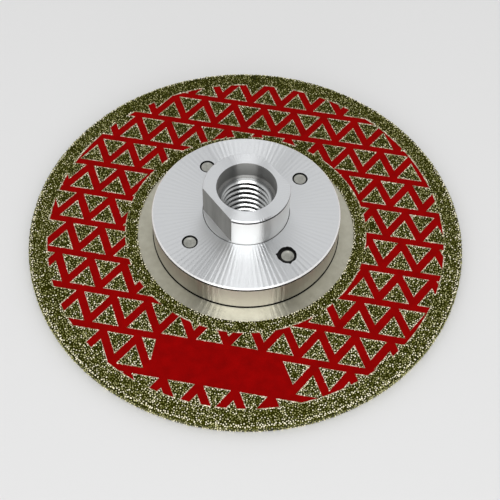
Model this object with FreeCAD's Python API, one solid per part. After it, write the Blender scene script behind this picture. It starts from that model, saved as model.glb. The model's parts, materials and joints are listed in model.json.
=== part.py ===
import FreeCAD, Part
import math
import os

from FreeCAD import Vector

# All sizes are in millimetres and all angles in degrees.
# The origin is the centre of the back face, +Z runs up the bore to the hub, and the disc lies on its back.
FULL_TURN = 360.0

# Plated disc: a steel blank with a nickel and diamond coat on both faces and round the rim.
DISC_DIAMETER = 115.0
BLANK_THICKNESS = 1.8
COAT_THICKNESS = 0.45
RIM_BEVEL = 0.8
BLANK_BORE = 22.2
BARE_CENTRE_DIAMETER = 57.4

# Red lattice in the front coat: rows of equilateral grit islands, parted by straight rails and zigzag strips.
# The strips are channels in the coat, with red stop-off lacquer on their floor.
FIELD_INNER_DIAMETER = 63.8
FIELD_OUTER_DIAMETER = 105.0
ISLAND_SIDE = 6.45
ISLAND_CORNER = 60.0
ISLAND_PITCH = 8.78
ZIGZAG_STRIP = 2.23
RAIL_STRIP = 2.04
ROW_ANGLE = -9.7
LATTICE_ALONG = -2.52
LATTICE_ACROSS = 6.64
LACQUER_THICKNESS = 0.1
SMALLEST_CHANNEL_AREA = 0.5

# Bare red panel in one row of the lattice, counted outward from the row nearest the middle.
PANEL_ROW = -5
PANEL_START = -15.6
PANEL_END = 16.1

# Flange: one turned piece with a wide base, a hub and a spigot that centres the blank.
FLANGE_DIAMETER = 49.0
FLANGE_HEIGHT = 8.4
FLANGE_EDGE = 0.35
HUB_DIAMETER = 22.3
HUB_HEIGHT = 9.5
HUB_EDGE = 0.3
SPIGOT_CLEARANCE = 0.05
SPIGOT_SETBACK = 0.1

# Wrench flats on the hub, which stop above the flange and leave a thin round collar.
ACROSS_FLATS = 18.5
FLAT_COUNT = 2
FLAT_ANGLE = 37.0
COLLAR_HEIGHT = 0.4

# Bore: a counterbore with a drill-point cone, then an M14 x 2 thread at its minor diameter.
COUNTERBORE_DIAMETER = 15.4
COUNTERBORE_DEPTH = 4.8
CONE_SLOPE = 30.0
THREAD_MINOR_DIAMETER = 11.84

# Four M4 countersunk screws, put in from the back, whose ends stop just below the flange's top.
SCREW_COUNT = 4
SCREW_CIRCLE = 35.3
FIRST_SCREW_ANGLE = 36.8
SCREW_DIAMETER = 4.0
SCREW_END_DEPTH = 0.2
SCREW_HEAD_DIAMETER = 7.5
SCREW_TIP_DIAMETER = 3.2
SOCKET_ACROSS_FLATS = 2.5
SOCKET_SIDES = 6
SOCKET_DEPTH = 1.2
SCREW_CLEARANCE = 0.05

# The last hole round the circle was drilled too wide at the flange's top.
WIDE_MOUTH_DIAMETER = 5.2
WIDE_MOUTH_DEPTH = 1.2

# Levels and radii that follow from the sizes above.
OVERSHOOT = 1.0
BACK_STEEL = COAT_THICKNESS
FRONT_STEEL = COAT_THICKNESS + BLANK_THICKNESS
LACQUER_FACE = FRONT_STEEL + LACQUER_THICKNESS
DISC_THICKNESS = 2 * COAT_THICKNESS + BLANK_THICKNESS
DISC_RADIUS = DISC_DIAMETER / 2
FLANGE_TOP = FRONT_STEEL + FLANGE_HEIGHT
HUB_TOP = FLANGE_TOP + HUB_HEIGHT
SPIGOT_BOTTOM = BACK_STEEL + SPIGOT_SETBACK
SPIGOT_RADIUS = BLANK_BORE / 2 - SPIGOT_CLEARANCE
COUNTERBORE_FLOOR = HUB_TOP - COUNTERBORE_DEPTH
CONE_DROP = (COUNTERBORE_DIAMETER - THREAD_MINOR_DIAMETER) / 2 * math.tan(math.radians(CONE_SLOPE))
ISLAND_HEIGHT = ISLAND_SIDE * math.sin(math.radians(ISLAND_CORNER))
HALF_CORNER = math.radians(ISLAND_CORNER / 2)


def revolved(profile):
    """Turns a closed outline of edges in the XZ plane about the Z axis."""
    face = Part.Face(Part.Wire(profile))
    return face.revolve(Vector(0, 0, 0), Vector(0, 0, 1), FULL_TURN)


def outline(points):
    """Straight edges through (radius, height) points, closed back to the first."""
    corners = [Vector(radius, 0, height) for radius, height in points]
    return [Part.makeLine(a, b) for a, b in zip(corners, corners[1:] + corners[:1])]


def cylinder(radius, bottom, top, x=0.0, y=0.0):
    """Upright cylinder between two levels."""
    return Part.makeCylinder(radius, top - bottom, Vector(x, y, bottom))


def cone(radius_bottom, radius_top, bottom, top, x=0.0, y=0.0):
    """Upright cone between two levels."""
    return Part.makeCone(radius_bottom, radius_top, top - bottom, Vector(x, y, bottom))


def screw_places():
    """Centre of each screw on its pitch circle."""
    step = FULL_TURN / SCREW_COUNT
    angles = [math.radians(FIRST_SCREW_ANGLE + step * i) for i in range(SCREW_COUNT)]
    return [(SCREW_CIRCLE / 2 * math.cos(a), SCREW_CIRCLE / 2 * math.sin(a)) for a in angles]


def lattice_point(along, across):
    """Point on the disc's face from its place along and across the rows."""
    turn = math.radians(ROW_ANGLE)
    x = along * math.cos(turn) - across * math.sin(turn)
    y = along * math.sin(turn) + across * math.cos(turn)
    return Vector(x, y, 0)


def polygon_face(points):
    """Flat face inside a closed run of points."""
    return Part.Face(Part.makePolygon(points + points[:1]))


def island(along, across, direction):
    """Triangular island about its centroid; direction is 1 for point outward, -1 for point inward."""
    base = across - direction * ISLAND_HEIGHT / 3
    tip = across + direction * ISLAND_HEIGHT * 2 / 3
    half = ISLAND_SIDE / 2
    return polygon_face([lattice_point(along - half, base), lattice_point(along + half, base),
                         lattice_point(along, tip)])


def row_sizes():
    """Pitch from row to row, and how far the inward islands stand beyond the outward ones."""
    strip_along_row = ZIGZAG_STRIP / math.cos(HALF_CORNER)
    stagger = ISLAND_HEIGHT - (ISLAND_PITCH / 2 - strip_along_row) / math.tan(HALF_CORNER)
    return RAIL_STRIP + ISLAND_HEIGHT + stagger, ISLAND_HEIGHT / 3 + stagger


def panel():
    """Rectangle of one row that carries no islands."""
    row_pitch, offset = row_sizes()
    outward = LATTICE_ACROSS + PANEL_ROW * row_pitch
    low = outward - ISLAND_HEIGHT / 3
    high = outward + offset + ISLAND_HEIGHT / 3
    return polygon_face([lattice_point(PANEL_START, low), lattice_point(PANEL_END, low),
                         lattice_point(PANEL_END, high), lattice_point(PANEL_START, high)])


def islands():
    """All islands that reach the red field; one on the panel's end is cut off by it."""
    row_pitch, offset = row_sizes()
    reach = FIELD_OUTER_DIAMETER / 2 + ISLAND_SIDE
    rows = math.ceil((reach + abs(LATTICE_ACROSS) + offset) / row_pitch)
    columns = math.ceil((reach + abs(LATTICE_ALONG) + ISLAND_PITCH / 2) / ISLAND_PITCH)
    bare = panel()
    found = []
    for row in range(-rows, rows + 1):
        for column in range(-columns, columns + 1):
            for direction in (1, -1):
                shift = 0 if direction == 1 else 0.5
                along = LATTICE_ALONG + (column + shift) * ISLAND_PITCH
                across = LATTICE_ACROSS + row * row_pitch + (0 if direction == 1 else offset)
                if math.hypot(along, across) > reach:
                    continue
                in_panel_row = row == PANEL_ROW
                if in_panel_row and PANEL_START < along < PANEL_END:
                    continue
                face = island(along, across, direction)
                if in_panel_row:
                    face = face.cut(bare)
                found.extend(face.Faces)
    return found


def lattice_faces():
    """The red field at height zero: a ring less its islands, without its smallest scraps."""
    ring = Part.Face([Part.Wire(Part.makeCircle(FIELD_OUTER_DIAMETER / 2))])
    ring = ring.cut(Part.Face([Part.Wire(Part.makeCircle(FIELD_INNER_DIAMETER / 2))]))
    field = ring.cut(islands())
    return [face for face in field.Faces if face.Area >= SMALLEST_CHANNEL_AREA]


def lattice_channels():
    """Cutter for the channels between the islands, down to the lacquer on their floor."""
    height = DISC_THICKNESS + OVERSHOOT - LACQUER_FACE
    slabs = []
    for face in lattice_faces():
        raised = face.translated(Vector(0, 0, LACQUER_FACE))
        slabs.append(raised.extrude(Vector(0, 0, height)))
    return Part.makeCompound(slabs)


def disc_body():
    """Turned section of the plated disc, with its bevelled front corner and bare centre."""
    bore = BLANK_BORE / 2
    bare = BARE_CENTRE_DIAMETER / 2
    return revolved(outline([
        (bore, BACK_STEEL), (bare, BACK_STEEL), (bare, 0), (DISC_RADIUS, 0),
        (DISC_RADIUS, DISC_THICKNESS - RIM_BEVEL), (DISC_RADIUS - RIM_BEVEL, DISC_THICKNESS),
        (bare, DISC_THICKNESS), (bare, FRONT_STEEL), (bore, FRONT_STEEL)]))


def screw_paths():
    """What each screw's hole takes out of the blank and the flange, with the seat of its head."""
    head = SCREW_HEAD_DIAMETER / 2
    shank = SCREW_DIAMETER / 2
    paths = []
    for x, y in screw_places():
        hole = cylinder(shank + SCREW_CLEARANCE, BACK_STEEL, FLANGE_TOP + OVERSHOOT, x, y)
        seat = cone(head, shank, BACK_STEEL, BACK_STEEL + head - shank, x, y)
        mouth = cylinder(head, BACK_STEEL - OVERSHOOT, BACK_STEEL, x, y)
        paths.append(hole.fuse([seat, mouth]))
    return paths


def plated_disc():
    """Blank, coat and lacquer as one bonded piece, with the channels open in the front coat."""
    return disc_body().cut([lattice_channels()] + screw_paths())


def flange_body():
    """Turned section of the flange, from the spigot up to the hub's mouth."""
    flange = FLANGE_DIAMETER / 2
    hub = HUB_DIAMETER / 2
    bore = THREAD_MINOR_DIAMETER / 2
    counterbore = COUNTERBORE_DIAMETER / 2
    return revolved(outline([
        (bore, SPIGOT_BOTTOM), (SPIGOT_RADIUS, SPIGOT_BOTTOM), (SPIGOT_RADIUS, FRONT_STEEL),
        (flange, FRONT_STEEL), (flange, FLANGE_TOP - FLANGE_EDGE), (flange - FLANGE_EDGE, FLANGE_TOP),
        (hub, FLANGE_TOP), (hub, HUB_TOP - HUB_EDGE), (hub - HUB_EDGE, HUB_TOP),
        (counterbore, HUB_TOP), (counterbore, COUNTERBORE_FLOOR),
        (bore, COUNTERBORE_FLOOR - CONE_DROP)]))


def flat_cutters():
    """Blocks that mill the wrench flats, down to the collar."""
    width = HUB_DIAMETER + 2 * OVERSHOOT
    height = HUB_HEIGHT - COLLAR_HEIGHT + OVERSHOOT
    bottom = FLANGE_TOP + COLLAR_HEIGHT
    cutters = []
    for side in range(FLAT_COUNT):
        block = Part.makeBox(width, width, height, Vector(ACROSS_FLATS / 2, -width / 2, bottom))
        block.rotate(Vector(0, 0, 0), Vector(0, 0, 1), FLAT_ANGLE + side * FULL_TURN / FLAT_COUNT)
        cutters.append(block)
    return cutters


def wide_mouth():
    """The mouth of the hole that was drilled too wide."""
    x, y = screw_places()[-1]
    return cylinder(WIDE_MOUTH_DIAMETER / 2, FLANGE_TOP - WIDE_MOUTH_DEPTH, FLANGE_TOP + OVERSHOOT, x, y)


def flange():
    """The flange with its wrench flats and screw holes."""
    return flange_body().cut(flat_cutters() + screw_paths() + [wide_mouth()])


def screw(x, y):
    """Countersunk screw, head down and flush with the back of the blank."""
    head = SCREW_HEAD_DIAMETER / 2
    shank = SCREW_DIAMETER / 2
    tip = SCREW_TIP_DIAMETER / 2
    end = FLANGE_TOP - SCREW_END_DEPTH
    body = revolved(outline([(0, BACK_STEEL), (head, BACK_STEEL), (shank, BACK_STEEL + head - shank),
                             (shank, end - (shank - tip)), (tip, end), (0, end)]))
    corner = SOCKET_ACROSS_FLATS / 2 / math.cos(math.pi / SOCKET_SIDES)
    turns = [2 * math.pi * i / SOCKET_SIDES for i in range(SOCKET_SIDES)]
    points = [Vector(corner * math.cos(a), corner * math.sin(a), BACK_STEEL - OVERSHOOT) for a in turns]
    socket = polygon_face(points).extrude(Vector(0, 0, SOCKET_DEPTH + OVERSHOOT))
    piece = body.cut(socket)
    piece.translate(Vector(x, y, 0))
    return piece


def parts():
    """Every node by name."""
    nodes = {"plated_disc": plated_disc(), "flange": flange()}
    for number, (x, y) in enumerate(screw_places()):
        nodes["countersunk_screw_%d" % (number + 1)] = screw(x, y)
    return nodes


def main():
    os.makedirs("parts", exist_ok=True)
    for name, shape in parts().items():
        shape.exportStep("parts/%s.step" % name)


main()
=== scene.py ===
import json
import math
import random

import bpy
from mathutils import Euler, Matrix, Vector

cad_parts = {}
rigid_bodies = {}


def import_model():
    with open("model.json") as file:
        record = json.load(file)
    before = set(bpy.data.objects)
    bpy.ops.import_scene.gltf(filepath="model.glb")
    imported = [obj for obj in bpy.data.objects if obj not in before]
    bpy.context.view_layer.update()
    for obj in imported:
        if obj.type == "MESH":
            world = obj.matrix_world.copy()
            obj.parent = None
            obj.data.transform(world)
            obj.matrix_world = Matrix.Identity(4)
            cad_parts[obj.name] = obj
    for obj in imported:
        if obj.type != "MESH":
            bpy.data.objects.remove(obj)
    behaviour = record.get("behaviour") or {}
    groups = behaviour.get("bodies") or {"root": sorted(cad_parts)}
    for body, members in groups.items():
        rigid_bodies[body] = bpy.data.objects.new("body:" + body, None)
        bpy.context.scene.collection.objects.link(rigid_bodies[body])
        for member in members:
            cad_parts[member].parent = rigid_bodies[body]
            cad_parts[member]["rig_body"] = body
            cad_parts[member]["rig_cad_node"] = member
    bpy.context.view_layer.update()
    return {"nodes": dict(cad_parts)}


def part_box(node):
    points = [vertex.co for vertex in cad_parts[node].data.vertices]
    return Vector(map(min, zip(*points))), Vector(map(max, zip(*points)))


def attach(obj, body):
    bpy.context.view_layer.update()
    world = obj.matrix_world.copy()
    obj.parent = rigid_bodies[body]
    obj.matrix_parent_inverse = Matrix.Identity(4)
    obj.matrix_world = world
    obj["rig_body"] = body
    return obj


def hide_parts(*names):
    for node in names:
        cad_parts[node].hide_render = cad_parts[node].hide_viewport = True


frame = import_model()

# Boxes of the whole solid model and of its nodes, in metres.
DISC_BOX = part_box("plated_disc")
FLANGE_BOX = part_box("flange")
SCREWS = ["countersunk_screw_%d" % number for number in (1, 2, 3, 4)]
SCREW_BOXES = [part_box(name) for name in SCREWS]

MM = 0.001
TURN = 2 * math.pi

# Disc, as radii and levels.
DISC_RADIUS = DISC_BOX[1][0]
COAT_TOP = DISC_BOX[1][2]
COAT = 0.45 * MM
FRONT_STEEL = COAT_TOP - COAT
LACQUER_DEPTH = 0.1 * MM
LACQUER_FACE = FRONT_STEEL + LACQUER_DEPTH
BARE_RADIUS = 28.7 * MM

# Flange, as radii and levels.
FLANGE_RADIUS = FLANGE_BOX[1][0]
HUB_TOP = FLANGE_BOX[1][2]
SPIGOT_BOTTOM = FLANGE_BOX[0][2]
SPIGOT_RADIUS = 11.05 * MM
FLANGE_HEIGHT = 8.4 * MM
FLANGE_TOP = FRONT_STEEL + FLANGE_HEIGHT
FLANGE_EDGE = 0.35 * MM
HUB_RADIUS = 11.15 * MM
HUB_EDGE = 0.3 * MM
COUNTERBORE_RADIUS = 7.7 * MM
COUNTERBORE_DEPTH = 4.8 * MM
COUNTERBORE_FLOOR = HUB_TOP - COUNTERBORE_DEPTH
CONE_SLOPE = math.radians(30)

# Fine forms of the flange: the undercut and the foot under its wall, the band below its bevels painted dark
# as painted shade, the breaks of its sharp edges, and the groove that the tool's nose left at the hub's foot.
UNDERCUT = 0.3 * MM
FOOT = 0.15 * MM
SHADE_BAND = 0.6 * MM
EDGE_BREAK = 0.1 * MM
EDGE_BREAK_ANGLE = math.radians(35)
GROOVE_WIDTH = 0.22 * MM
GROOVE_DEPTH = 0.12 * MM
GROOVE_TAPER = 0.08 * MM
GROOVE_BITE = 0.04 * MM

# Wrench flats and the thin collar below them.
FLAT_DISTANCE = 9.25 * MM
FLAT_ANGLE = math.radians(37)
FLAT_CUTTER = 30 * MM
COLLAR = 0.4 * MM

# M14 x 2 thread in the bore: groove at the major radius, ridge up to the minor one. The groove's level holds
# at the bore's far wall, a quarter turn on from where the ridge starts.
THREAD_MAJOR = 7.0 * MM
THREAD_MINOR = 5.92 * MM
THREAD_PITCH = 2.0 * MM
THREAD_CREST = THREAD_PITCH / 4
THREAD_ROOT = THREAD_PITCH / 8
THREAD_GROOVE_LEVEL = 7.42 * MM
THREAD_TURNS = 9
THREAD_TURNS_BELOW = 5
THREAD_BURIED = 0.2 * MM

# Holes for the screws. One mouth was drilled too wide, off centre, with a ragged edge and two nicks.
HOLE_RADIUS = 2.05 * MM
WIDE_HOLE = 3
WIDE_RADIUS = 2.5 * MM
WIDE_DEPTH = 1.2 * MM
WIDE_SHIFT = 0.15 * MM
RAGGED = 0.12 * MM
RAGGED_STEPS = 30
NICK_RADIUS = 0.35 * MM
NICK_DEPTH = 0.5 * MM
NICK_STEPS = 9
NICK_ANGLES = (math.radians(288), math.radians(178))

# Screws: M4 with a countersunk head, a hex socket and a dished end, each turned on from the last by an angle.
SCREW_RADIUS = 2.0 * MM
SCREW_TIP = 1.6 * MM
SCREW_PITCH = 0.7 * MM
LAST_GROOVE_DEPTH = 1.1 * MM
HEAD_RADIUS = 3.75 * MM
SOCKET_SIDES = 6
SOCKET_RADIUS = 1.25 * MM / math.cos(math.pi / SOCKET_SIDES)
SOCKET_DEPTH = 1.2 * MM
DISH_RADIUS = 1.35 * MM
DISH_DEPTH = 0.1 * MM
SCREW_TWIST = 2.1

# Grit: 30/40 mesh diamond, sunk to its middle in nickel, which lies half a grain below the coat's face.
GRAIN = 0.55 * MM
SINK = 0.28 * MM
FRONT_SPACING = 0.42 * MM
BACK_SPACING = 0.6 * MM
CANDIDATES = 16 / MM ** 2
FRINGE = 0.42 * MM
CUBE_SIZE = 0.56 * GRAIN
PRISM_RADIUS = 0.4 * GRAIN
PRISM_HEIGHT = 0.55 * GRAIN
SMALLEST_GRAIN = 0.7

# Patches, from a noise: up to the first value only a share of the crystals stands, from the second all do.
PATCH = 1.6 * MM
PATCH_THIN = 0.22
PATCH_DENSE = 0.3
THINNEST = 0.2

# Shade of the crystals, from 0 dark to 1 pale: its range by chance, what the faces add, what the rim loses as
# painted shade, the painted light it gains towards the front, what it gains in pale patches, and the painted
# highlight it gains along the coat's edges.
SHADE_LOW = -0.15
SHADE_HIGH = 0.73
FACE_SHADE = 0.07
RIM_PAINTED_SHADE = -0.1
FRONT_PAINTED_LIGHT = 0.15
PATCH_GAIN = 0.4
EDGE_PAINTED_HIGHLIGHT = 0.5

# Nickel bead along the coat's edges, and the lacquer's skin.
BEAD_RADIUS = 0.16 * MM
LACQUER_SKIN = 0.05 * MM

# Chatter of the cutter on the turned faces: waves like spokes, with their count in a turn.
CHATTER_COUNT = 108

# Camera's angle off the vertical, and the fans it sees on turned faces: half their width, and the dark flags
# beside the softboxes, with their depth, their soft edge, the angle up to which they are full and their end.
CAMERA_TILT = 0.615
FAN_HALF = math.radians(20)
FLAG = 0.75
FLAG_SOFT = 0.03
FLAG_FULL = math.radians(27)
FLAG_END = math.radians(39)

# Light of the studio's walls, as (height of the direction, strength), and the floor's width in metres.
GLOW = [(0.0, 0.3), (0.2, 0.86), (0.42, 0.86), (0.62, 0.75)]
FLOOR_SIZE = 4

# Fineness of the turned shapes, how far a cutter stands out, and how near two points are to be merged.
ROUND_STEPS = 192
HOLE_STEPS = 48
THREAD_STEPS = 96
OVERSHOOT = 1.0 * MM
MERGE = 0.001 * MM

# Near black colour of the painted shade in holes and corners, and of the painted shadow at the flange's foot.
PAINTED_SHADE_BLACK = "#12110F"

# How faces are told apart: by the parts of their normals, and by where their centres lie.
UPRIGHT = 0.3
STEEP = 0.5
LEVEL = 0.9
SLOPED = 0.95
TOUCH = 0.03 * MM
RIM_FROM = DISC_RADIUS - 1.03 * MM
RIM_CORNER_FROM = DISC_RADIUS - 1.5 * MM
HUB_WALL_FROM = HUB_RADIUS - 0.2 * MM
BASE_WALL_FROM = FLANGE_RADIUS - 0.1 * MM
BORE_REACH = 0.02 * MM
FLAT_REACH = 0.05 * MM
HOLE_REACH = WIDE_RADIUS + 0.7 * MM


def linear(colour):
    """sRGB hex colour as linear RGBA."""
    parts = [int(colour[i:i + 2], 16) / 255 for i in (1, 3, 5)]
    return tuple(c / 12.92 if c <= 0.04045 else ((c + 0.055) / 1.055) ** 2.4 for c in parts) + (1.0,)


def deselect():
    """Leaves edit mode with nothing selected."""
    if bpy.context.object and bpy.context.object.mode != "OBJECT":
        bpy.ops.object.mode_set(mode="OBJECT")
    bpy.ops.object.select_all(action="DESELECT")


def active(piece):
    """Makes one piece the selected and active one."""
    deselect()
    piece.select_set(True)
    bpy.context.view_layer.objects.active = piece


def modify(piece, kind, **settings):
    """Adds a modifier with its settings and applies it."""
    active(piece)
    made = piece.modifiers.new(kind.lower(), kind)
    for name, value in settings.items():
        setattr(made, name, value)
    bpy.ops.object.modifier_apply(modifier=made.name)


def cut(piece, tools, operation="DIFFERENCE"):
    """Cuts the tools out of a piece, one after the other, and deletes them."""
    for tool in tools:
        modify(piece, "BOOLEAN", object=tool, operation=operation, solver="EXACT")
        bpy.data.objects.remove(tool)


def smooth(piece, degrees):
    """Smooths the edges of a piece that bend less than an angle."""
    active(piece)
    bpy.ops.object.shade_smooth_by_angle(angle=math.radians(degrees))


def close_mesh(merge):
    """Merges the edited piece's points if asked, turns its faces outward and leaves edit mode."""
    bpy.ops.mesh.select_all(action="SELECT")
    if merge:
        bpy.ops.mesh.remove_doubles(threshold=MERGE)
    bpy.ops.mesh.normals_make_consistent(inside=False)
    bpy.ops.object.mode_set(mode="OBJECT")


def edit_faces(piece, chosen):
    """Opens a piece for editing with only the faces selected for which chosen(centre, normal) holds."""
    active(piece)
    bpy.ops.object.mode_set(mode="EDIT")
    bpy.ops.mesh.select_mode(type="FACE")
    bpy.ops.mesh.select_all(action="DESELECT")
    bpy.ops.object.mode_set(mode="OBJECT")
    for polygon in piece.data.polygons:
        polygon.select = chosen(polygon.center, polygon.normal)
    bpy.ops.object.mode_set(mode="EDIT")


def paint(piece, material):
    """Gives a piece one material."""
    piece.data.materials.clear()
    piece.data.materials.append(material)


def paint_faces(piece, material, chosen):
    """Gives a further material to the faces for which chosen(centre, normal) holds."""
    piece.data.materials.append(material)
    for polygon in piece.data.polygons:
        if chosen(polygon.center, polygon.normal):
            polygon.material_index = len(piece.data.materials) - 1


def turned(name, profile, solid=False, steps=ROUND_STEPS):
    """Circle extruded and resized through (radius, level) points: a ring, or a solid with flat ends."""
    deselect()
    radius, level = profile[0]
    bpy.ops.mesh.primitive_circle_add(vertices=steps, radius=radius, location=(0, 0, level))
    piece = bpy.context.object
    piece.name = name
    bpy.ops.object.transform_apply()
    bpy.ops.object.mode_set(mode="EDIT")
    bpy.ops.mesh.select_all(action="SELECT")
    for next_radius, next_level in profile[1:] + ([] if solid else profile[:1]):
        bpy.ops.mesh.extrude_edges_move(TRANSFORM_OT_translate={"value": (0, 0, next_level - level)})
        scale = next_radius / radius
        bpy.ops.transform.resize(value=(scale, scale, 1), center_override=(0, 0, next_level))
        radius, level = next_radius, next_level
    bpy.ops.mesh.select_all(action="SELECT")
    if solid:
        bpy.ops.mesh.fill_holes(sides=0)
    close_mesh(merge=True)
    return piece


def peg(radius, bottom, top, place, steps=HOLE_STEPS):
    """Upright cylinder for cutting a hole."""
    deselect()
    middle = (place[0], place[1], (bottom + top) / 2)
    bpy.ops.mesh.primitive_cylinder_add(vertices=steps, radius=radius, depth=top - bottom, location=middle)
    bpy.ops.object.transform_apply()
    return bpy.context.object


def screw_place(number):
    """Axis of one screw, from the box of its node."""
    low, high = SCREW_BOXES[number]
    return (low[0] + high[0]) / 2, (low[1] + high[1]) / 2


def flat_block(side):
    """Block that mills one wrench flat."""
    deselect()
    half = FLAT_CUTTER / 2
    place = (FLAT_DISTANCE + half, 0, FLANGE_TOP + COLLAR + half)
    bpy.ops.mesh.primitive_cube_add(size=FLAT_CUTTER, location=place)
    bpy.ops.object.transform_apply()
    block = bpy.context.object
    block.rotation_euler.z = FLAT_ANGLE + side * math.pi
    bpy.ops.object.transform_apply()
    return block


def ragged_mouth():
    """Cutters of the wide mouth: a peg with an uneven outline, and nicks where the drill broke out."""
    x, y = screw_place(WIDE_HOLE)
    place = (x - WIDE_SHIFT, y + WIDE_SHIFT)
    mouth = peg(WIDE_RADIUS, FLANGE_TOP - WIDE_DEPTH, FLANGE_TOP + OVERSHOOT, place, steps=RAGGED_STEPS)
    dice = random.Random(4)
    stretch = [1 + dice.uniform(-RAGGED, RAGGED) / WIDE_RADIUS for _ in range(RAGGED_STEPS)]
    for vertex in mouth.data.vertices:
        away = Vector((vertex.co.x - place[0], vertex.co.y - place[1]))
        turn = int(round(math.atan2(away.y, away.x) / TURN * RAGGED_STEPS)) % RAGGED_STEPS
        vertex.co.x = place[0] + away.x * stretch[turn]
        vertex.co.y = place[1] + away.y * stretch[turn]
    cutters = [mouth]
    for angle in NICK_ANGLES:
        edge = (place[0] + WIDE_RADIUS * math.cos(angle), place[1] + WIDE_RADIUS * math.sin(angle))
        cutters.append(peg(NICK_RADIUS, FLANGE_TOP - NICK_DEPTH, FLANGE_TOP + OVERSHOOT, edge, NICK_STEPS))
    return cutters


def cone_level(radius):
    """Level of the drill-point cone at a radius."""
    return COUNTERBORE_FLOOR - (COUNTERBORE_RADIUS - radius) * math.tan(CONE_SLOPE)


def bore_plug():
    """The space that the thread's ridge may fill: the bore below the cone, down to the back face."""
    reach = THREAD_MAJOR + 0.1 * MM
    tip = 1 * MM
    plug = peg(reach, SPIGOT_BOTTOM, cone_level(reach), (0, 0), steps=ROUND_STEPS)
    edit_faces(plug, lambda centre, normal: normal.z > LEVEL)
    rise = cone_level(tip) - cone_level(reach)
    bpy.ops.mesh.extrude_region_move(TRANSFORM_OT_translate={"value": (0, 0, rise)})
    bpy.ops.transform.resize(value=(tip / reach, tip / reach, 1), center_override=(0, 0, cone_level(tip)))
    close_mesh(merge=False)
    return plug


def thread_ridge():
    """The thread's ridge: a tapered strip wound up the bore, trimmed by the cone and by the back face."""
    root_half = (THREAD_PITCH - THREAD_ROOT) / 2
    crest_half = THREAD_CREST / 2
    root = THREAD_MAJOR + THREAD_BURIED
    far_wall = THREAD_GROOVE_LEVEL + THREAD_PITCH / 2 - THREAD_TURNS_BELOW * THREAD_PITCH
    start = far_wall - THREAD_PITCH / 4
    deselect()
    bpy.ops.mesh.primitive_plane_add(size=1, location=(0, 0, 0))
    ridge = bpy.context.object
    ridge.name = "thread_ridge"
    corners = [(root, -root_half), (THREAD_MINOR, -crest_half), (root, root_half), (THREAD_MINOR, crest_half)]
    for vertex, (radius, level) in zip(ridge.data.vertices, corners):
        vertex.co = (radius, 0, start + level)
    active(ridge)
    bpy.ops.object.mode_set(mode="EDIT")
    bpy.ops.mesh.select_all(action="SELECT")
    bpy.ops.mesh.delete(type="ONLY_FACE")
    bpy.ops.object.mode_set(mode="OBJECT")
    modify(ridge, "SCREW", angle=TURN, screw_offset=THREAD_PITCH, iterations=THREAD_TURNS, steps=THREAD_STEPS,
           render_steps=THREAD_STEPS, axis="Z", use_merge_vertices=False, use_smooth_shade=False)
    active(ridge)
    bpy.ops.object.mode_set(mode="EDIT")
    bpy.ops.mesh.select_all(action="DESELECT")
    bpy.ops.mesh.select_mode(type="VERT")
    bpy.ops.mesh.select_non_manifold(extend=False)
    bpy.ops.mesh.edge_face_add()
    close_mesh(merge=True)
    cut(ridge, [bore_plug()], "INTERSECT")
    smooth(ridge, degrees=28)
    return ridge


def corner_groove():
    """Cutter of the fine groove that the tool's nose left where the hub meets the flange."""
    outer = HUB_RADIUS + GROOVE_WIDTH
    top = FLANGE_TOP + GROOVE_WIDTH
    bottom = FLANGE_TOP - GROOVE_DEPTH
    return turned("corner_groove", [(HUB_RADIUS, top), (outer, top), (outer - GROOVE_TAPER, bottom),
                                    (HUB_RADIUS - GROOVE_BITE, bottom)])


def flange_piece():
    """The turned flange with its flats, holes and the bore for the thread, in place of the plain solid."""
    foot = FRONT_STEEL + UNDERCUT + FOOT
    base_bevel = FLANGE_TOP - FLANGE_EDGE
    hub_bevel = HUB_TOP - HUB_EDGE
    body = turned("threaded_flange", [
        (THREAD_MAJOR, SPIGOT_BOTTOM), (SPIGOT_RADIUS, SPIGOT_BOTTOM), (SPIGOT_RADIUS, FRONT_STEEL),
        (FLANGE_RADIUS - UNDERCUT, FRONT_STEEL), (FLANGE_RADIUS, FRONT_STEEL + UNDERCUT),
        (FLANGE_RADIUS, foot), (FLANGE_RADIUS, base_bevel - SHADE_BAND), (FLANGE_RADIUS, base_bevel),
        (FLANGE_RADIUS - FLANGE_EDGE, FLANGE_TOP), (HUB_RADIUS, FLANGE_TOP),
        (HUB_RADIUS, hub_bevel - SHADE_BAND), (HUB_RADIUS, hub_bevel), (HUB_RADIUS - HUB_EDGE, HUB_TOP),
        (COUNTERBORE_RADIUS, HUB_TOP), (COUNTERBORE_RADIUS, COUNTERBORE_FLOOR),
        (THREAD_MAJOR, cone_level(THREAD_MAJOR))])
    cut(body, [flat_block(0), flat_block(1)])
    modify(body, "BEVEL", width=EDGE_BREAK, segments=2, limit_method="ANGLE", angle_limit=EDGE_BREAK_ANGLE)
    holes = [peg(HOLE_RADIUS, FRONT_STEEL - OVERSHOOT, FLANGE_TOP + OVERSHOOT, screw_place(number))
             for number in range(len(SCREWS))]
    cut(body, [corner_groove()] + holes + ragged_mouth())
    smooth(body, degrees=40)
    modify(body, "WEIGHTED_NORMAL", mode="FACE_AREA", weight=100, keep_sharp=True)
    return body


def on_wall(centre, normal):
    """The upright walls from the hub's wall outward."""
    return centre.xy.length > HUB_WALL_FROM and abs(normal.z) < UPRIGHT


def on_base_wall(centre, normal):
    """The base's wall alone."""
    return centre.xy.length > BASE_WALL_FROM and abs(normal.z) < UPRIGHT


def in_bore(centre, normal):
    """The counterbore and its cone."""
    low, high = cone_level(THREAD_MAJOR), HUB_TOP - TOUCH
    return centre.xy.length < COUNTERBORE_RADIUS + BORE_REACH and low < centre.z < high


def in_thread(centre, normal):
    """The wall of the bore at the thread's root."""
    return centre.xy.length < THREAD_MAJOR + BORE_REACH


def on_bevel(centre, normal):
    """The bevel of the base."""
    near = centre.xy.length > FLANGE_RADIUS - FLANGE_EDGE and centre.z > FLANGE_TOP - FLANGE_EDGE
    return near and normal.z < SLOPED


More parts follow.
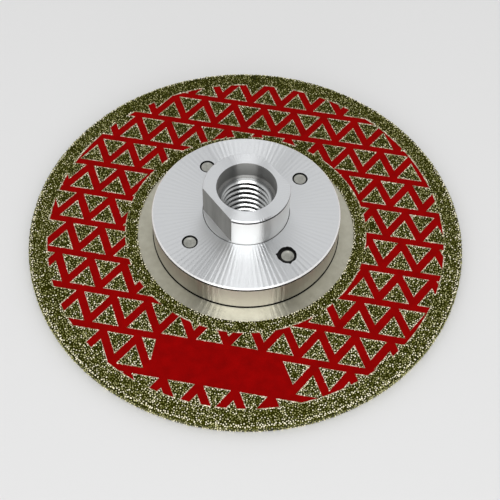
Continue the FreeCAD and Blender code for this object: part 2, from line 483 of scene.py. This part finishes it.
def shade_band_under_bevel(centre, normal):
    """A narrow band of the walls, right under the bevels of the base and of the hub, that gets painted shade.
    """
    under_base = 0 < FLANGE_TOP - FLANGE_EDGE - centre.z < SHADE_BAND
    under_hub = 0 < HUB_TOP - HUB_EDGE - centre.z < SHADE_BAND
    radius = centre.xy.length
    return (under_base and radius > BASE_WALL_FROM) or (under_hub and radius > HUB_WALL_FROM)


def on_flat(centre, normal):
    """The two wrench flats."""
    across = abs(centre.x * math.cos(FLAT_ANGLE) + centre.y * math.sin(FLAT_ANGLE))
    upright = centre.z > FLANGE_TOP + COLLAR and abs(normal.z) < UPRIGHT
    return upright and abs(across - FLAT_DISTANCE) < FLAT_REACH


def in_recess(centre, normal):
    """The screws' holes, the undercut with the wall's foot, and the groove: painted black as painted shade.
    """
    radius = centre.xy.length
    low = FRONT_STEEL + TOUCH < centre.z < FLANGE_TOP - TOUCH
    in_hole = any((centre.xy - Vector(screw_place(number))).length < HOLE_REACH
                  for number in range(len(SCREWS)))
    in_undercut = centre.z < FRONT_STEEL + UNDERCUT + FOOT and radius > FLANGE_RADIUS - MM
    beside_hub = HUB_RADIUS - 0.1 * MM < radius < HUB_RADIUS + GROOVE_WIDTH
    in_groove = beside_hub and centre.z < FLANGE_TOP - 0.02 * MM
    return (low and (in_hole or in_undercut)) or in_groove


def finish_flange(body):
    """Paints the flange: turned all over, milled flats, a duller bore, and painted shade on the flats, in the
    bore, holes and corners.
    """
    paint(body, turned_metal("turned_aluminium", "#E6E8EA", roughness=0.28, slope=0.08))
    hub_wall = turned_metal("turned_aluminium_hub_wall", "#E2E3E2", roughness=0.4, slope=0.03)
    # Painted reflection and shade: the base's wall is darker and warmer than the turned top, for the plate
    # and grit it mirrors.
    base_wall = turned_metal("turned_aluminium_base_wall_painted_reflection", "#C8C4B8", roughness=0.32, slope=0.05)
    # Painted shade: the bore's metal is much darker than the turned faces.
    bore = turned_metal("bored_aluminium_painted_shade", "#A2A2A0", roughness=0.42, slope=0.02)
    # Painted highlight: the bevel's metal is pure white, brighter than the turned top, so that it reads as a
    # bright line.
    bevel = turned_metal("turned_aluminium_bevel_painted_highlight", "#FFFFFF", roughness=0.5, slope=0.0, anisotropy=0.0)
    # Painted shade: dark metal on the band under the bevels, standing in for the shade beneath their edges.
    line = turned_metal("turned_aluminium_painted_shade_band", "#262420", roughness=0.35, slope=0.0, anisotropy=0.0)
    for material, chosen in ((hub_wall, on_wall), (base_wall, on_base_wall), (bore, in_bore),
                             (cut_thread(), in_thread), (bevel, on_bevel), (line, shade_band_under_bevel),
                             (milled_aluminium(), on_flat), (painted_recess_shade(), in_recess)):
        paint_faces(body, material, chosen)


def screw_pieces():
    """Four countersunk screws: a head with a hex socket, a thread whose last turns show, and a dished end."""
    low, high = SCREW_BOXES[0]
    bottom, end = low[2], high[2]
    profile = [(HEAD_RADIUS, bottom), (SCREW_RADIUS, bottom + HEAD_RADIUS - SCREW_RADIUS)]
    for turn in (2, 1, 0):
        groove = end - LAST_GROOVE_DEPTH - turn * SCREW_PITCH
        profile += [(SCREW_RADIUS, groove - SCREW_PITCH / 2), (SCREW_TIP, groove),
                    (SCREW_RADIUS, groove + SCREW_PITCH / 2)]
    profile += [(SCREW_RADIUS, end - (SCREW_RADIUS - SCREW_TIP)), (SCREW_TIP, end), (DISH_RADIUS, end),
                (DISH_RADIUS - 0.15 * MM, end - 0.8 * DISH_DEPTH), (0.3 * MM, end - DISH_DEPTH)]
    first = turned("zinc_plated_screw_1", profile, solid=True, steps=HOLE_STEPS)
    cut(first, [peg(SOCKET_RADIUS, bottom - OVERSHOOT, bottom + SOCKET_DEPTH, (0, 0), steps=SOCKET_SIDES)])
    smooth(first, degrees=30)
    paint(first, screw_steel())
    # The screw's upper thread turns, which sit inside the hole, get painted shade.
    paint_faces(first, painted_recess_shade(), lambda centre, normal: centre.z > bottom + 2 * MM
                and abs(normal.z) < LEVEL and centre.xy.length > SCREW_TIP)
    made = [first]
    for number in range(1, len(SCREWS)):
        active(first)
        bpy.ops.object.duplicate()
        made.append(bpy.context.object)
        made[-1].name = "zinc_plated_screw_%d" % (number + 1)
    for number, piece in enumerate(made):
        active(piece)
        piece.rotation_euler.z = SCREW_TWIST * number
        piece.location = (*screw_place(number), 0)
        bpy.ops.object.transform_apply()
    return made


def copy_of(source, name):
    """A merged copy of a piece, with a mesh of its own."""
    active(source)
    bpy.ops.object.duplicate()
    piece = bpy.context.object
    piece.name = name
    bpy.ops.object.parent_clear(type="CLEAR_KEEP_TRANSFORM")
    piece.pop("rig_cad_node", None)
    piece.pop("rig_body", None)
    bpy.ops.object.mode_set(mode="EDIT")
    bpy.ops.mesh.select_all(action="SELECT")
    bpy.ops.mesh.remove_doubles(threshold=MERGE)
    bpy.ops.object.mode_set(mode="OBJECT")
    bpy.ops.mesh.customdata_custom_splitnormals_clear()
    bpy.ops.object.shade_flat()
    return piece


def kept_faces(source, name, chosen):
    """A copy of a piece with only the chosen faces left."""
    piece = copy_of(source, name)
    edit_faces(piece, lambda centre, normal: not chosen(centre, normal))
    bpy.ops.mesh.delete(type="FACE")
    bpy.ops.object.mode_set(mode="OBJECT")
    return piece


def nickel_body():
    """The disc with its coat's faces lowered by half a grain, on the front, the back and the rim."""
    body = copy_of(frame["nodes"]["plated_disc"], "nickel_coated_disc")
    edit_faces(body, lambda centre, normal: normal.z > LEVEL and centre.z > COAT_TOP - TOUCH)
    bpy.ops.transform.translate(value=(0, 0, -SINK))
    bpy.ops.object.mode_set(mode="OBJECT")
    edit_faces(body, lambda centre, normal: normal.z < -LEVEL and centre.z < TOUCH)
    bpy.ops.transform.translate(value=(0, 0, SINK))
    bpy.ops.object.mode_set(mode="OBJECT")
    edit_faces(body, lambda centre, normal: abs(normal.z) < STEEP and centre.xy.length > RIM_FROM)
    shrink = 1 - SINK / DISC_RADIUS
    bpy.ops.transform.resize(value=(shrink, shrink, 1), center_override=(0, 0, 0))
    bpy.ops.object.mode_set(mode="OBJECT")
    smooth(body, degrees=20)
    return body


def on_front(centre, normal):
    """The front coat's flat face, with its islands."""
    return normal.z > LEVEL and centre.z > LACQUER_FACE + TOUCH and centre.xy.length > BARE_RADIUS


def on_back(centre, normal):
    """The back coat's flat face."""
    return normal.z < -LEVEL and centre.z < SINK + TOUCH


def on_rim(centre, normal):
    """The rim and its bevelled corner."""
    return normal.xy.length > STEEP and centre.xy.length > RIM_CORNER_FROM


def on_channel_floor(centre, normal):
    """The floor of the channels between the islands."""
    return normal.z > LEVEL and abs(centre.z - LACQUER_FACE) < TOUCH and centre.xy.length > BARE_RADIUS


def lacquer_skin(body):
    """The red lacquer on the channels' floor, as a thin closed layer."""
    skin = kept_faces(body, "stop_off_lacquer", on_channel_floor)
    modify(skin, "SOLIDIFY", thickness=LACQUER_SKIN, offset=1)
    return skin


def edge_bead(body):
    """The bead that nickel builds up where the coat stops at the lacquer, round every island; its pale colour
    is a painted highlight.
    """
    bead = kept_faces(body, "nickel_edge_bead", on_channel_floor)
    active(bead)
    bpy.ops.object.mode_set(mode="EDIT")
    bpy.ops.mesh.select_mode(type="EDGE")
    bpy.ops.mesh.select_all(action="DESELECT")
    bpy.ops.mesh.select_non_manifold(extend=False)
    bpy.ops.mesh.select_all(action="INVERT")
    bpy.ops.mesh.delete(type="EDGE")
    bpy.ops.mesh.select_all(action="SELECT")
    bpy.ops.mesh.delete(type="ONLY_FACE")
    bpy.ops.mesh.select_all(action="SELECT")
    bpy.ops.transform.translate(value=(0, 0, COAT_TOP - SINK - LACQUER_FACE))
    bpy.ops.object.mode_set(mode="OBJECT")
    bpy.ops.object.convert(target="CURVE")
    bead = bpy.context.object
    bead.data.bevel_depth = BEAD_RADIUS
    bead.data.bevel_resolution = 1
    bpy.ops.object.convert(target="MESH")
    bead = bpy.context.object
    bpy.ops.object.mode_set(mode="EDIT")
    close_mesh(merge=False)
    smooth(bead, degrees=60)
    return bead


def narrowed_top(x_scale, y_scale):
    """The active piece, with its top face made smaller."""
    piece = bpy.context.object
    edit_faces(piece, lambda centre, normal: normal.z > LEVEL)
    bpy.ops.transform.resize(value=(x_scale, y_scale, 1))
    bpy.ops.object.mode_set(mode="OBJECT")
    return piece


def crystals():
    """Three crystal shapes, up to a grain across, in a collection that isn't in the scene."""
    shelf = bpy.data.collections.new("crystals")
    deselect()
    bpy.ops.mesh.primitive_ico_sphere_add(subdivisions=1, radius=GRAIN / 2)
    bpy.ops.object.mode_set(mode="EDIT")
    bpy.ops.transform.resize(value=(1, 0.8, 0.9))
    bpy.ops.object.mode_set(mode="OBJECT")
    made = [bpy.context.object]
    deselect()
    bpy.ops.mesh.primitive_cube_add(size=CUBE_SIZE)
    made.append(narrowed_top(0.6, 0.8))
    deselect()
    bpy.ops.mesh.primitive_cylinder_add(vertices=5, radius=PRISM_RADIUS, depth=PRISM_HEIGHT)
    made.append(narrowed_top(0.5, 0.6))
    for crystal in made:
        for owner in list(crystal.users_collection):
            owner.objects.unlink(crystal)
        shelf.objects.link(crystal)
    return shelf


def add_node(tree, kind, values=None, **settings):
    """Adds a node; values sets or links its inputs, and settings sets its properties."""
    made = tree.nodes.new(kind)
    for name, value in settings.items():
        setattr(made, name, value)
    for socket, value in (values or {}).items():
        if isinstance(value, bpy.types.NodeSocket):
            tree.links.new(value, made.inputs[socket])
        else:
            made.inputs[socket].default_value = value
    return made


def maths(tree, operation, *values, **settings):
    """One operation on numbers."""
    made = add_node(tree, "ShaderNodeMath", dict(enumerate(values)), operation=operation, **settings)
    return made.outputs[0]


def vectors(tree, operation, *values):
    """One operation on vectors, which gives a vector or, for a product or a length, a number."""
    made = add_node(tree, "ShaderNodeVectorMath", dict(enumerate(values)), operation=operation)
    return made.outputs["Value" if operation in ("DOT_PRODUCT", "LENGTH") else "Vector"]


def remap(tree, value, start, end, low=0.0, high=1.0):
    """A number taken from one range to another and kept within it."""
    return add_node(tree, "ShaderNodeMapRange", {0: value, 1: start, 2: end, 3: low, 4: high}).outputs[0]


def noise(tree, place, scale, detail):
    """Cloudy noise round 0.5, of a scale per metre."""
    made = add_node(tree, "ShaderNodeTexNoise", {"Vector": place, "Scale": scale, "Detail": detail})
    return made.outputs[0]


def blend(tree, factor, first, second):
    """A colour between two, of which each is a hex colour or a node's output."""
    ends = [linear(colour) if isinstance(colour, str) else colour for colour in (first, second)]
    return add_node(tree, "ShaderNodeMix", {0: factor, 6: ends[0], 7: ends[1]}, data_type="RGBA").outputs[2]


def chance(tree, low, high, seed):
    """A random number for each crystal."""
    made = add_node(tree, "FunctionNodeRandomValue", {2: low, 3: high, "Seed": seed}, data_type="FLOAT")
    return made.outputs[1]


def colour_ramp(tree, factor, stops):
    """Colours between stops, each given as (position, colour)."""
    ramp = add_node(tree, "ShaderNodeValToRGB", {0: factor})
    while len(ramp.color_ramp.elements) < len(stops):
        ramp.color_ramp.elements.new(0.5)
    for element, (position, colour) in zip(ramp.color_ramp.elements, stops):
        element.position = position
        element.color = colour
    return ramp.outputs[0]


def in_quarter(tree, place, start):
    """Whether a place lies in the quarter turn from a start angle."""
    inside = []
    for angle in (start, start + math.pi / 2):
        along = vectors(tree, "DOT_PRODUCT", place, (math.cos(angle), math.sin(angle), 0))
        inside.append(add_node(tree, "FunctionNodeCompare", {0: along, 1: 0.0}, data_type="FLOAT",
                               operation="GREATER_EQUAL").outputs[0])
    return add_node(tree, "FunctionNodeBooleanMath", {0: inside[0], 1: inside[1]}, operation="AND").outputs[0]


def scatter(shelf, spacing, seed, start, pale):
    """Nodes that strew crystals over a surface, each with a random turn, size and shade.

    Shades drift from patch to patch, and the crystals along an open edge are paler, a painted highlight. With
    a start angle only the quarter turn from there is strewn, and the same seed makes the quarters join
    without a seam.
    """
    tree = bpy.data.node_groups.new("grit", "GeometryNodeTree")
    tree.interface.new_socket("Geometry", in_out="INPUT", socket_type="NodeSocketGeometry")
    tree.interface.new_socket("Geometry", in_out="OUTPUT", socket_type="NodeSocketGeometry")
    surface = add_node(tree, "NodeGroupInput").outputs[0]
    place = add_node(tree, "GeometryNodeInputPosition").outputs[0]
    patches = add_node(tree, "ShaderNodeTexNoise", {"Scale": 1 / PATCH, "Detail": 1.0}).outputs[0]
    dense = remap(tree, patches, PATCH_THIN, PATCH_DENSE, low=THINNEST)
    points = add_node(tree, "GeometryNodeDistributePointsOnFaces", {
        "Mesh": surface, "Distance Min": spacing, "Density Max": CANDIDATES, "Density Factor": dense,
        "Seed": seed}, distribute_method="POISSON").outputs["Points"]
    neighbours = add_node(tree, "GeometryNodeInputMeshEdgeNeighbors").outputs[0]
    at_edge = add_node(tree, "FunctionNodeCompare", {2: neighbours, 3: 1}, data_type="INT", operation="EQUAL")
    edges = {0: surface, 1: at_edge.outputs[0]}
    border = add_node(tree, "GeometryNodeSeparateGeometry", edges, domain="EDGE").outputs[0]
    near = add_node(tree, "GeometryNodeProximity", {0: border}, target_element="EDGES").outputs["Distance"]
    turns = {0: (0, 0, 0), 1: (TURN, TURN, TURN), "Seed": seed + 1}
    turn = add_node(tree, "FunctionNodeRandomValue", turns, data_type="FLOAT_VECTOR").outputs[0]
    shapes = add_node(tree, "GeometryNodeCollectionInfo",
                      {0: shelf, "Separate Children": True, "Reset Children": True}).outputs[0]
    stand = add_node(tree, "GeometryNodeInstanceOnPoints", {
        "Points": points, "Instance": shapes, "Pick Instance": True, "Rotation": turn,
        "Scale": chance(tree, SMALLEST_GRAIN, 1.0, seed + 2)})
    if start is not None:
        tree.links.new(in_quarter(tree, place, start), stand.inputs["Selection"])
    lot = chance(tree, pale + SHADE_LOW, pale + SHADE_HIGH, seed + 3)
    # Painted light: the crystals grow paler towards the front, at -y.
    painted_front_light = vectors(tree, "DOT_PRODUCT", place, (0, -FRONT_PAINTED_LIGHT / DISC_RADIUS, 0))
    lean = maths(tree, "ADD", painted_front_light, lot)
    drift = maths(tree, "MULTIPLY_ADD", patches, PATCH_GAIN, lean)
    # Painted highlight: crystals near an open edge of the coat are paler.
    painted_edge_highlight = maths(tree, "LESS_THAN", near, FRINGE)
    paler = maths(tree, "MULTIPLY_ADD", painted_edge_highlight, EDGE_PAINTED_HIGHLIGHT, drift, use_clamp=True)
    shade = add_node(tree, "GeometryNodeStoreNamedAttribute",
                     {0: stand.outputs[0], "Name": "grain_shade", "Value": paler},
                     data_type="FLOAT", domain="INSTANCE")
    real = add_node(tree, "GeometryNodeRealizeInstances", {0: shade.outputs[0]})
    add_node(tree, "NodeGroupOutput", {0: real.outputs[0]})
    return tree


def grit(body, shelf):
    """Diamond crystals over the whole coat, as several pieces of bounded size."""
    quarters = [("%s_%d" % (side, number), chosen, spacing, seed, number * TURN / 4)
                for side, chosen, spacing, seed in (("front_grit", on_front, FRONT_SPACING, 0),
                                                    ("back_grit", on_back, BACK_SPACING, 10))
                for number in range(4)]
    made = []
    for name, chosen, spacing, seed, start in quarters + [("rim_grit", on_rim, FRONT_SPACING, 20, None)]:
        piece = kept_faces(body, name, chosen)
        # The rim's crystals start darker than the faces': painted shade on the upright rim.
        pale = RIM_PAINTED_SHADE if chosen == on_rim else FACE_SHADE
        modify(piece, "NODES", node_group=scatter(shelf, spacing, seed, start, pale))
        made.append(piece)
    return made


def new_material(name, roughness, metallic=0.0):
    """A material with its node tree and its shader."""
    material = bpy.data.materials.new(name)
    material.use_nodes = True
    shader = material.node_tree.nodes["Principled BSDF"]
    shader.inputs["Roughness"].default_value = roughness
    shader.inputs["Metallic"].default_value = metallic
    return material, material.node_tree, shader


def object_place(tree):
    """The shaded point, in the frame of its piece, which is the frame of the whole."""
    return add_node(tree, "ShaderNodeTexCoord").outputs["Object"]


def axis_distance(tree, place):
    """How far a point lies from the bore's axis."""
    return vectors(tree, "LENGTH", vectors(tree, "MULTIPLY", place, (1, 1, 0)))


def spin_marks(tree, shader, slope, anisotropy):
    """Marks of turning: highlights stretch across the grooves, and chatter tilts the face in waves."""
    place = object_place(tree)
    around = vectors(tree, "CROSS_PRODUCT", (0, 0, 1), place)
    tree.links.new(vectors(tree, "NORMALIZE", around), shader.inputs["Tangent"])
    shader.inputs["Anisotropic"].default_value = anisotropy
    shader.inputs["Anisotropic Rotation"].default_value = 0.25
    axes = add_node(tree, "ShaderNodeSeparateXYZ", {0: place}).outputs
    angle = maths(tree, "ARCTAN2", axes[1], axes[0])
    wave = maths(tree, "SINE", maths(tree, "MULTIPLY", angle, CHATTER_COUNT))
    uneven = add_node(tree, "ShaderNodeTexNoise", {"W": angle, "Scale": CHATTER_COUNT / 4},
                      noise_dimensions="1D").outputs[0]
    depth = remap(tree, uneven, 0.35, 0.65, low=0.2)
    height = maths(tree, "MULTIPLY", maths(tree, "MULTIPLY", wave, depth), vectors(tree, "LENGTH", around))
    waves = {"Strength": 1.0, "Distance": slope / CHATTER_COUNT, "Height": height}
    tree.links.new(add_node(tree, "ShaderNodeBump", waves).outputs[0], shader.inputs["Normal"])


def turned_metal(name, colour, roughness, slope, anisotropy=1.0):
    """Turned aluminium: a bright bare metal with concentric marks, too fine to see one by one."""
    material, tree, shader = new_material(name, roughness, metallic=1.0)
    shader.inputs["Base Color"].default_value = linear(colour)
    spin_marks(tree, shader, slope, anisotropy)
    return material


def milled_aluminium():
    """Milled aluminium: the wrench flats, with the end mill's upright streaks, and darker as painted shade.
    """
    material, tree, shader = new_material("milled_aluminium", roughness=0.33, metallic=1.0)
    place = object_place(tree)
    across = add_node(tree, "ShaderNodeMapping", {"Vector": place, "Rotation": (0, 0, -FLAT_ANGLE)})
    drawn = add_node(tree, "ShaderNodeMapping", {"Vector": across.outputs[0], "Scale": (1, 1, 0.12)})
    streaks = noise(tree, drawn.outputs[0], scale=0.7 / MM, detail=2.0)
    # Painted shade: the flats' metal is far darker than the turned faces; the streaks along it are the mill's
    # marks.
    tree.links.new(blend(tree, streaks, "#6E6C66", "#AAA8A2"), shader.inputs["Base Color"])
    relief = {"Strength": 0.2, "Distance": 0.02 * MM, "Height": streaks}
    tree.links.new(add_node(tree, "ShaderNodeBump", relief).outputs[0], shader.inputs["Normal"])
    return material


def cut_thread():
    """Tapped thread: bright crests, and painted shade deep in the grooves, less of it at the top."""
    material, tree, shader = new_material("tapped_thread", roughness=0.25, metallic=1.0)
    place = object_place(tree)
    level = add_node(tree, "ShaderNodeSeparateXYZ", {0: place}).outputs[2]
    top = cone_level(THREAD_MAJOR)
    # Painted shade: grey crests, darker than the turned faces, and near black towards the grooves' root, a
    # little less just under the cone.
    most = remap(tree, level, top, top - 1.4 * MM, low=0.75)
    shallow, full = THREAD_MINOR + 0.25 * MM, THREAD_MINOR + 0.7 * MM
    deep = remap(tree, axis_distance(tree, place), shallow, full, high=most)
    tree.links.new(blend(tree, deep, "#CCCECE", "#1A1A18"), shader.inputs["Base Color"])
    return material


def painted_recess_shade():
    """Painted shade for holes and corners: a nearly black, dull colour put where shade falls."""
    material, _, shader = new_material("black_painted_shade", roughness=0.7)
    shader.inputs["Base Color"].default_value = linear(PAINTED_SHADE_BLACK)
    return material


def screw_steel():
    """Zinc-plated steel: satin grey with a faint mottle."""
    material, tree, shader = new_material("zinc_plated_steel", roughness=0.4, metallic=1.0)
    mottle = noise(tree, object_place(tree), scale=1.5 / MM, detail=2.0)
    tree.links.new(blend(tree, mottle, "#8C8C86", "#C2C2BA"), shader.inputs["Base Color"])
    return material


def bare_plate():
    """Nickel-plated steel, bare round the flange: satin, a little warm, turned, and black at the flange as a
    painted shadow.
    """
    material, tree, shader = new_material("bare_nickel_plate", roughness=0.36, metallic=1.0)
    place = object_place(tree)
    plate_colour = blend(tree, noise(tree, place, scale=0.5 / MM, detail=4.0), "#BAB7A6", "#DAD8C8")
    # Painted shadow: the plate turns black just outside the flange's foot, where the flange's wall meets it.
    black, bright = FLANGE_RADIUS + 0.15 * MM, FLANGE_RADIUS + 0.3 * MM
    corner = remap(tree, axis_distance(tree, place), black, bright)
    tree.links.new(blend(tree, corner, PAINTED_SHADE_BLACK, plate_colour), shader.inputs["Base Color"])
    spin_marks(tree, shader, slope=0.03, anisotropy=0.95)
    return material


def nickel_bond_in_painted_shade():
    """Nickel bond between the grains: dull, and dark olive as painted shade between the crystals."""
    material, tree, shader = new_material("nickel_bond_in_painted_shade", roughness=0.5, metallic=1.0)
    mottle = noise(tree, object_place(tree), scale=1 / PATCH, detail=3.0)
    # Painted shade: far darker than the bare plate's nickel; the mottle is the bond's own uneven tone.
    tree.links.new(blend(tree, mottle, "#202202", "#40400E"), shader.inputs["Base Color"])
    return material


def bead_nickel():
    """Nickel bead along the coat's edges: rounded, and pale and bright as a painted highlight."""
    material, tree, shader = new_material("nickel_bead_painted_highlight", roughness=0.35, metallic=0.5)
    beads = noise(tree, object_place(tree), scale=1.4 / MM, detail=1.0)
    spread = remap(tree, beads, 0.44, 0.62)
    # Painted highlight: the bead's nickel is pale where the bond's is dark; the noise makes it beaded.
    tree.links.new(blend(tree, spread, "#8A8258", "#FAEEDA"), shader.inputs["Base Color"])
    return material


def diamond():
    """Synthetic diamond grit, half buried in nickel: olive crystals, the whitest partly painted glints, with
    soft glints.
    """
    material, tree, shader = new_material("diamond_grit", roughness=0.3)
    shade = add_node(tree, "ShaderNodeAttribute", attribute_name="grain_shade").outputs["Fac"]
    # The crystals' own tone runs from dark olive to cream; the near-white top of the ramp is a painted
    # highlight for glints.
    stops = [(0.0, "#2A2C04"), (0.3, "#6A6C2A"), (0.6, "#A09F66"), (0.88, "#D0CC98"), (1.0, "#FFF8DC")]
    tint = colour_ramp(tree, shade, [(position, linear(colour)) for position, colour in stops])
    tree.links.new(tint, shader.inputs["Base Color"])
    shader.inputs["Specular IOR Level"].default_value = 0.12
    return material


def lacquer():
    """Stop-off lacquer: thin red paint with a dull skin, a little uneven."""
    material, tree, shader = new_material("stop_off_lacquer", roughness=0.55)
    uneven = noise(tree, object_place(tree), scale=0.35 / MM, detail=3.0)
    tree.links.new(blend(tree, uneven, "#740101", "#9E0202"), shader.inputs["Base Color"])
    shader.inputs["Specular IOR Level"].default_value = 0.02
    return material


def camera():
    """Camera at the photograph's place: 35 degrees off the vertical, close to the disc, slightly rolled."""
    roll = 0.019
    aside, above, distance = 0.812 * MM, 1.213 * MM, 259.57 * MM
    right = Vector((1, 0, 0))
    up = Vector((0, math.cos(CAMERA_TILT), math.sin(CAMERA_TILT)))
    back = Vector((0, -math.sin(CAMERA_TILT), math.cos(CAMERA_TILT)))
    data = bpy.data.cameras.new("camera")
    data.sensor_width = 36
    data.lens = 69.68
    data.shift_x = 0.0149
    data.shift_y = -0.0244
    made = bpy.data.objects.new("camera", data)
    bpy.context.scene.collection.objects.link(made)
    turn = Euler((CAMERA_TILT, 0, 0)).to_matrix().to_4x4() @ Matrix.Rotation(roll, 4, "Z")
    made.matrix_world = Matrix.Translation(-aside * right - above * up + distance * back) @ turn
    bpy.context.scene.camera = made


def softbox(name, place, size, power):
    """Rectangular area light aimed at the flange, which the camera doesn't see."""
    target = Vector((0, 0, 10 * MM))
    data = bpy.data.lights.new(name, "AREA")
    data.shape = "RECTANGLE"
    data.size, data.size_y = size
    data.energy = power
    made = bpy.data.objects.new(name, data)
    bpy.context.scene.collection.objects.link(made)
    made.location = place
    made.rotation_euler = (target - Vector(place)).to_track_quat("-Z", "Y").to_euler()
    made.visible_camera = False


def floor():
    """Floor of pale paper, which belongs to the studio and not to the part."""
    deselect()
    bpy.ops.mesh.primitive_plane_add(size=FLOOR_SIZE, location=(0, 0, 0))
    sheet = bpy.context.object
    sheet.name = "floor"
    paper, _, shader = new_material("pale_paper", roughness=0.9)
    shader.inputs["Base Color"].default_value = linear("#E2E2E2")
    paint(sheet, paper)


def studio():
    """Pale walls of light and two softboxes, between dark flags, which draw the fans on the turned faces."""
    world = bpy.data.worlds.new("studio")
    bpy.context.scene.world = world
    world.use_nodes = True
    tree = world.node_tree
    direction = add_node(tree, "ShaderNodeTexCoord").outputs["Generated"]
    axes = add_node(tree, "ShaderNodeSeparateXYZ", {0: direction}).outputs
    level = colour_ramp(tree, axes[2], [(height, (value, value, value, 1)) for height, value in GLOW])
    aside = maths(tree, "ABSOLUTE", axes[0])
    ahead = maths(tree, "MAXIMUM", maths(tree, "SUBTRACT", math.sin(CAMERA_TILT), axes[1]), 0.01)
    angle = maths(tree, "ARCTAN2", aside, ahead)
    opens = remap(tree, angle, FAN_HALF, FAN_HALF + FLAG_SOFT)
    closes = remap(tree, angle, FLAG_FULL, FLAG_END, low=FLAG, high=0.0)
    shaded = maths(tree, "SUBTRACT", 1.0, maths(tree, "MULTIPLY", opens, closes))
    background = tree.nodes["Background"]
    background.inputs["Color"].default_value = linear("#FFFFFF")
    tree.links.new(maths(tree, "MULTIPLY", level, shaded), background.inputs["Strength"])
    softbox("upper", place=(0, -0.16, 0.63), size=(0.38, 0.14), power=1.2)
    softbox("front", place=(0, -0.62, 0.12), size=(0.8, 0.22), power=1.8)


def main():
    camera()
    floor()
    studio()
    flange = flange_piece()
    finish_flange(flange)
    ridge = thread_ridge()
    paint(ridge, cut_thread())
    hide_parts("flange")
    screws = screw_pieces()
    for screw, name in zip(screws, SCREWS):
        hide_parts(name)
    body = nickel_body()
    skin = lacquer_skin(body)
    bead = edge_bead(body)
    grains = grit(body, crystals())
    paint(body, nickel_bond_in_painted_shade())
    paint_faces(body, bare_plate(), lambda centre, normal: centre.xy.length < BARE_RADIUS + TOUCH)
    paint(skin, lacquer())
    paint(bead, bead_nickel())
    diamonds = diamond()
    for piece in grains:
        paint(piece, diamonds)
    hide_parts("plated_disc")
    finishes = [("turned_aluminium", [flange, ridge]), ("screw_steel", screws), ("red_lacquer", [skin]),
                ("plated_steel", [body, bead] + grains)]
    for slot, pieces in finishes:
        for piece in pieces:
            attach(piece, "root")
    bpy.context.scene.view_settings.view_transform = "Standard"


main()
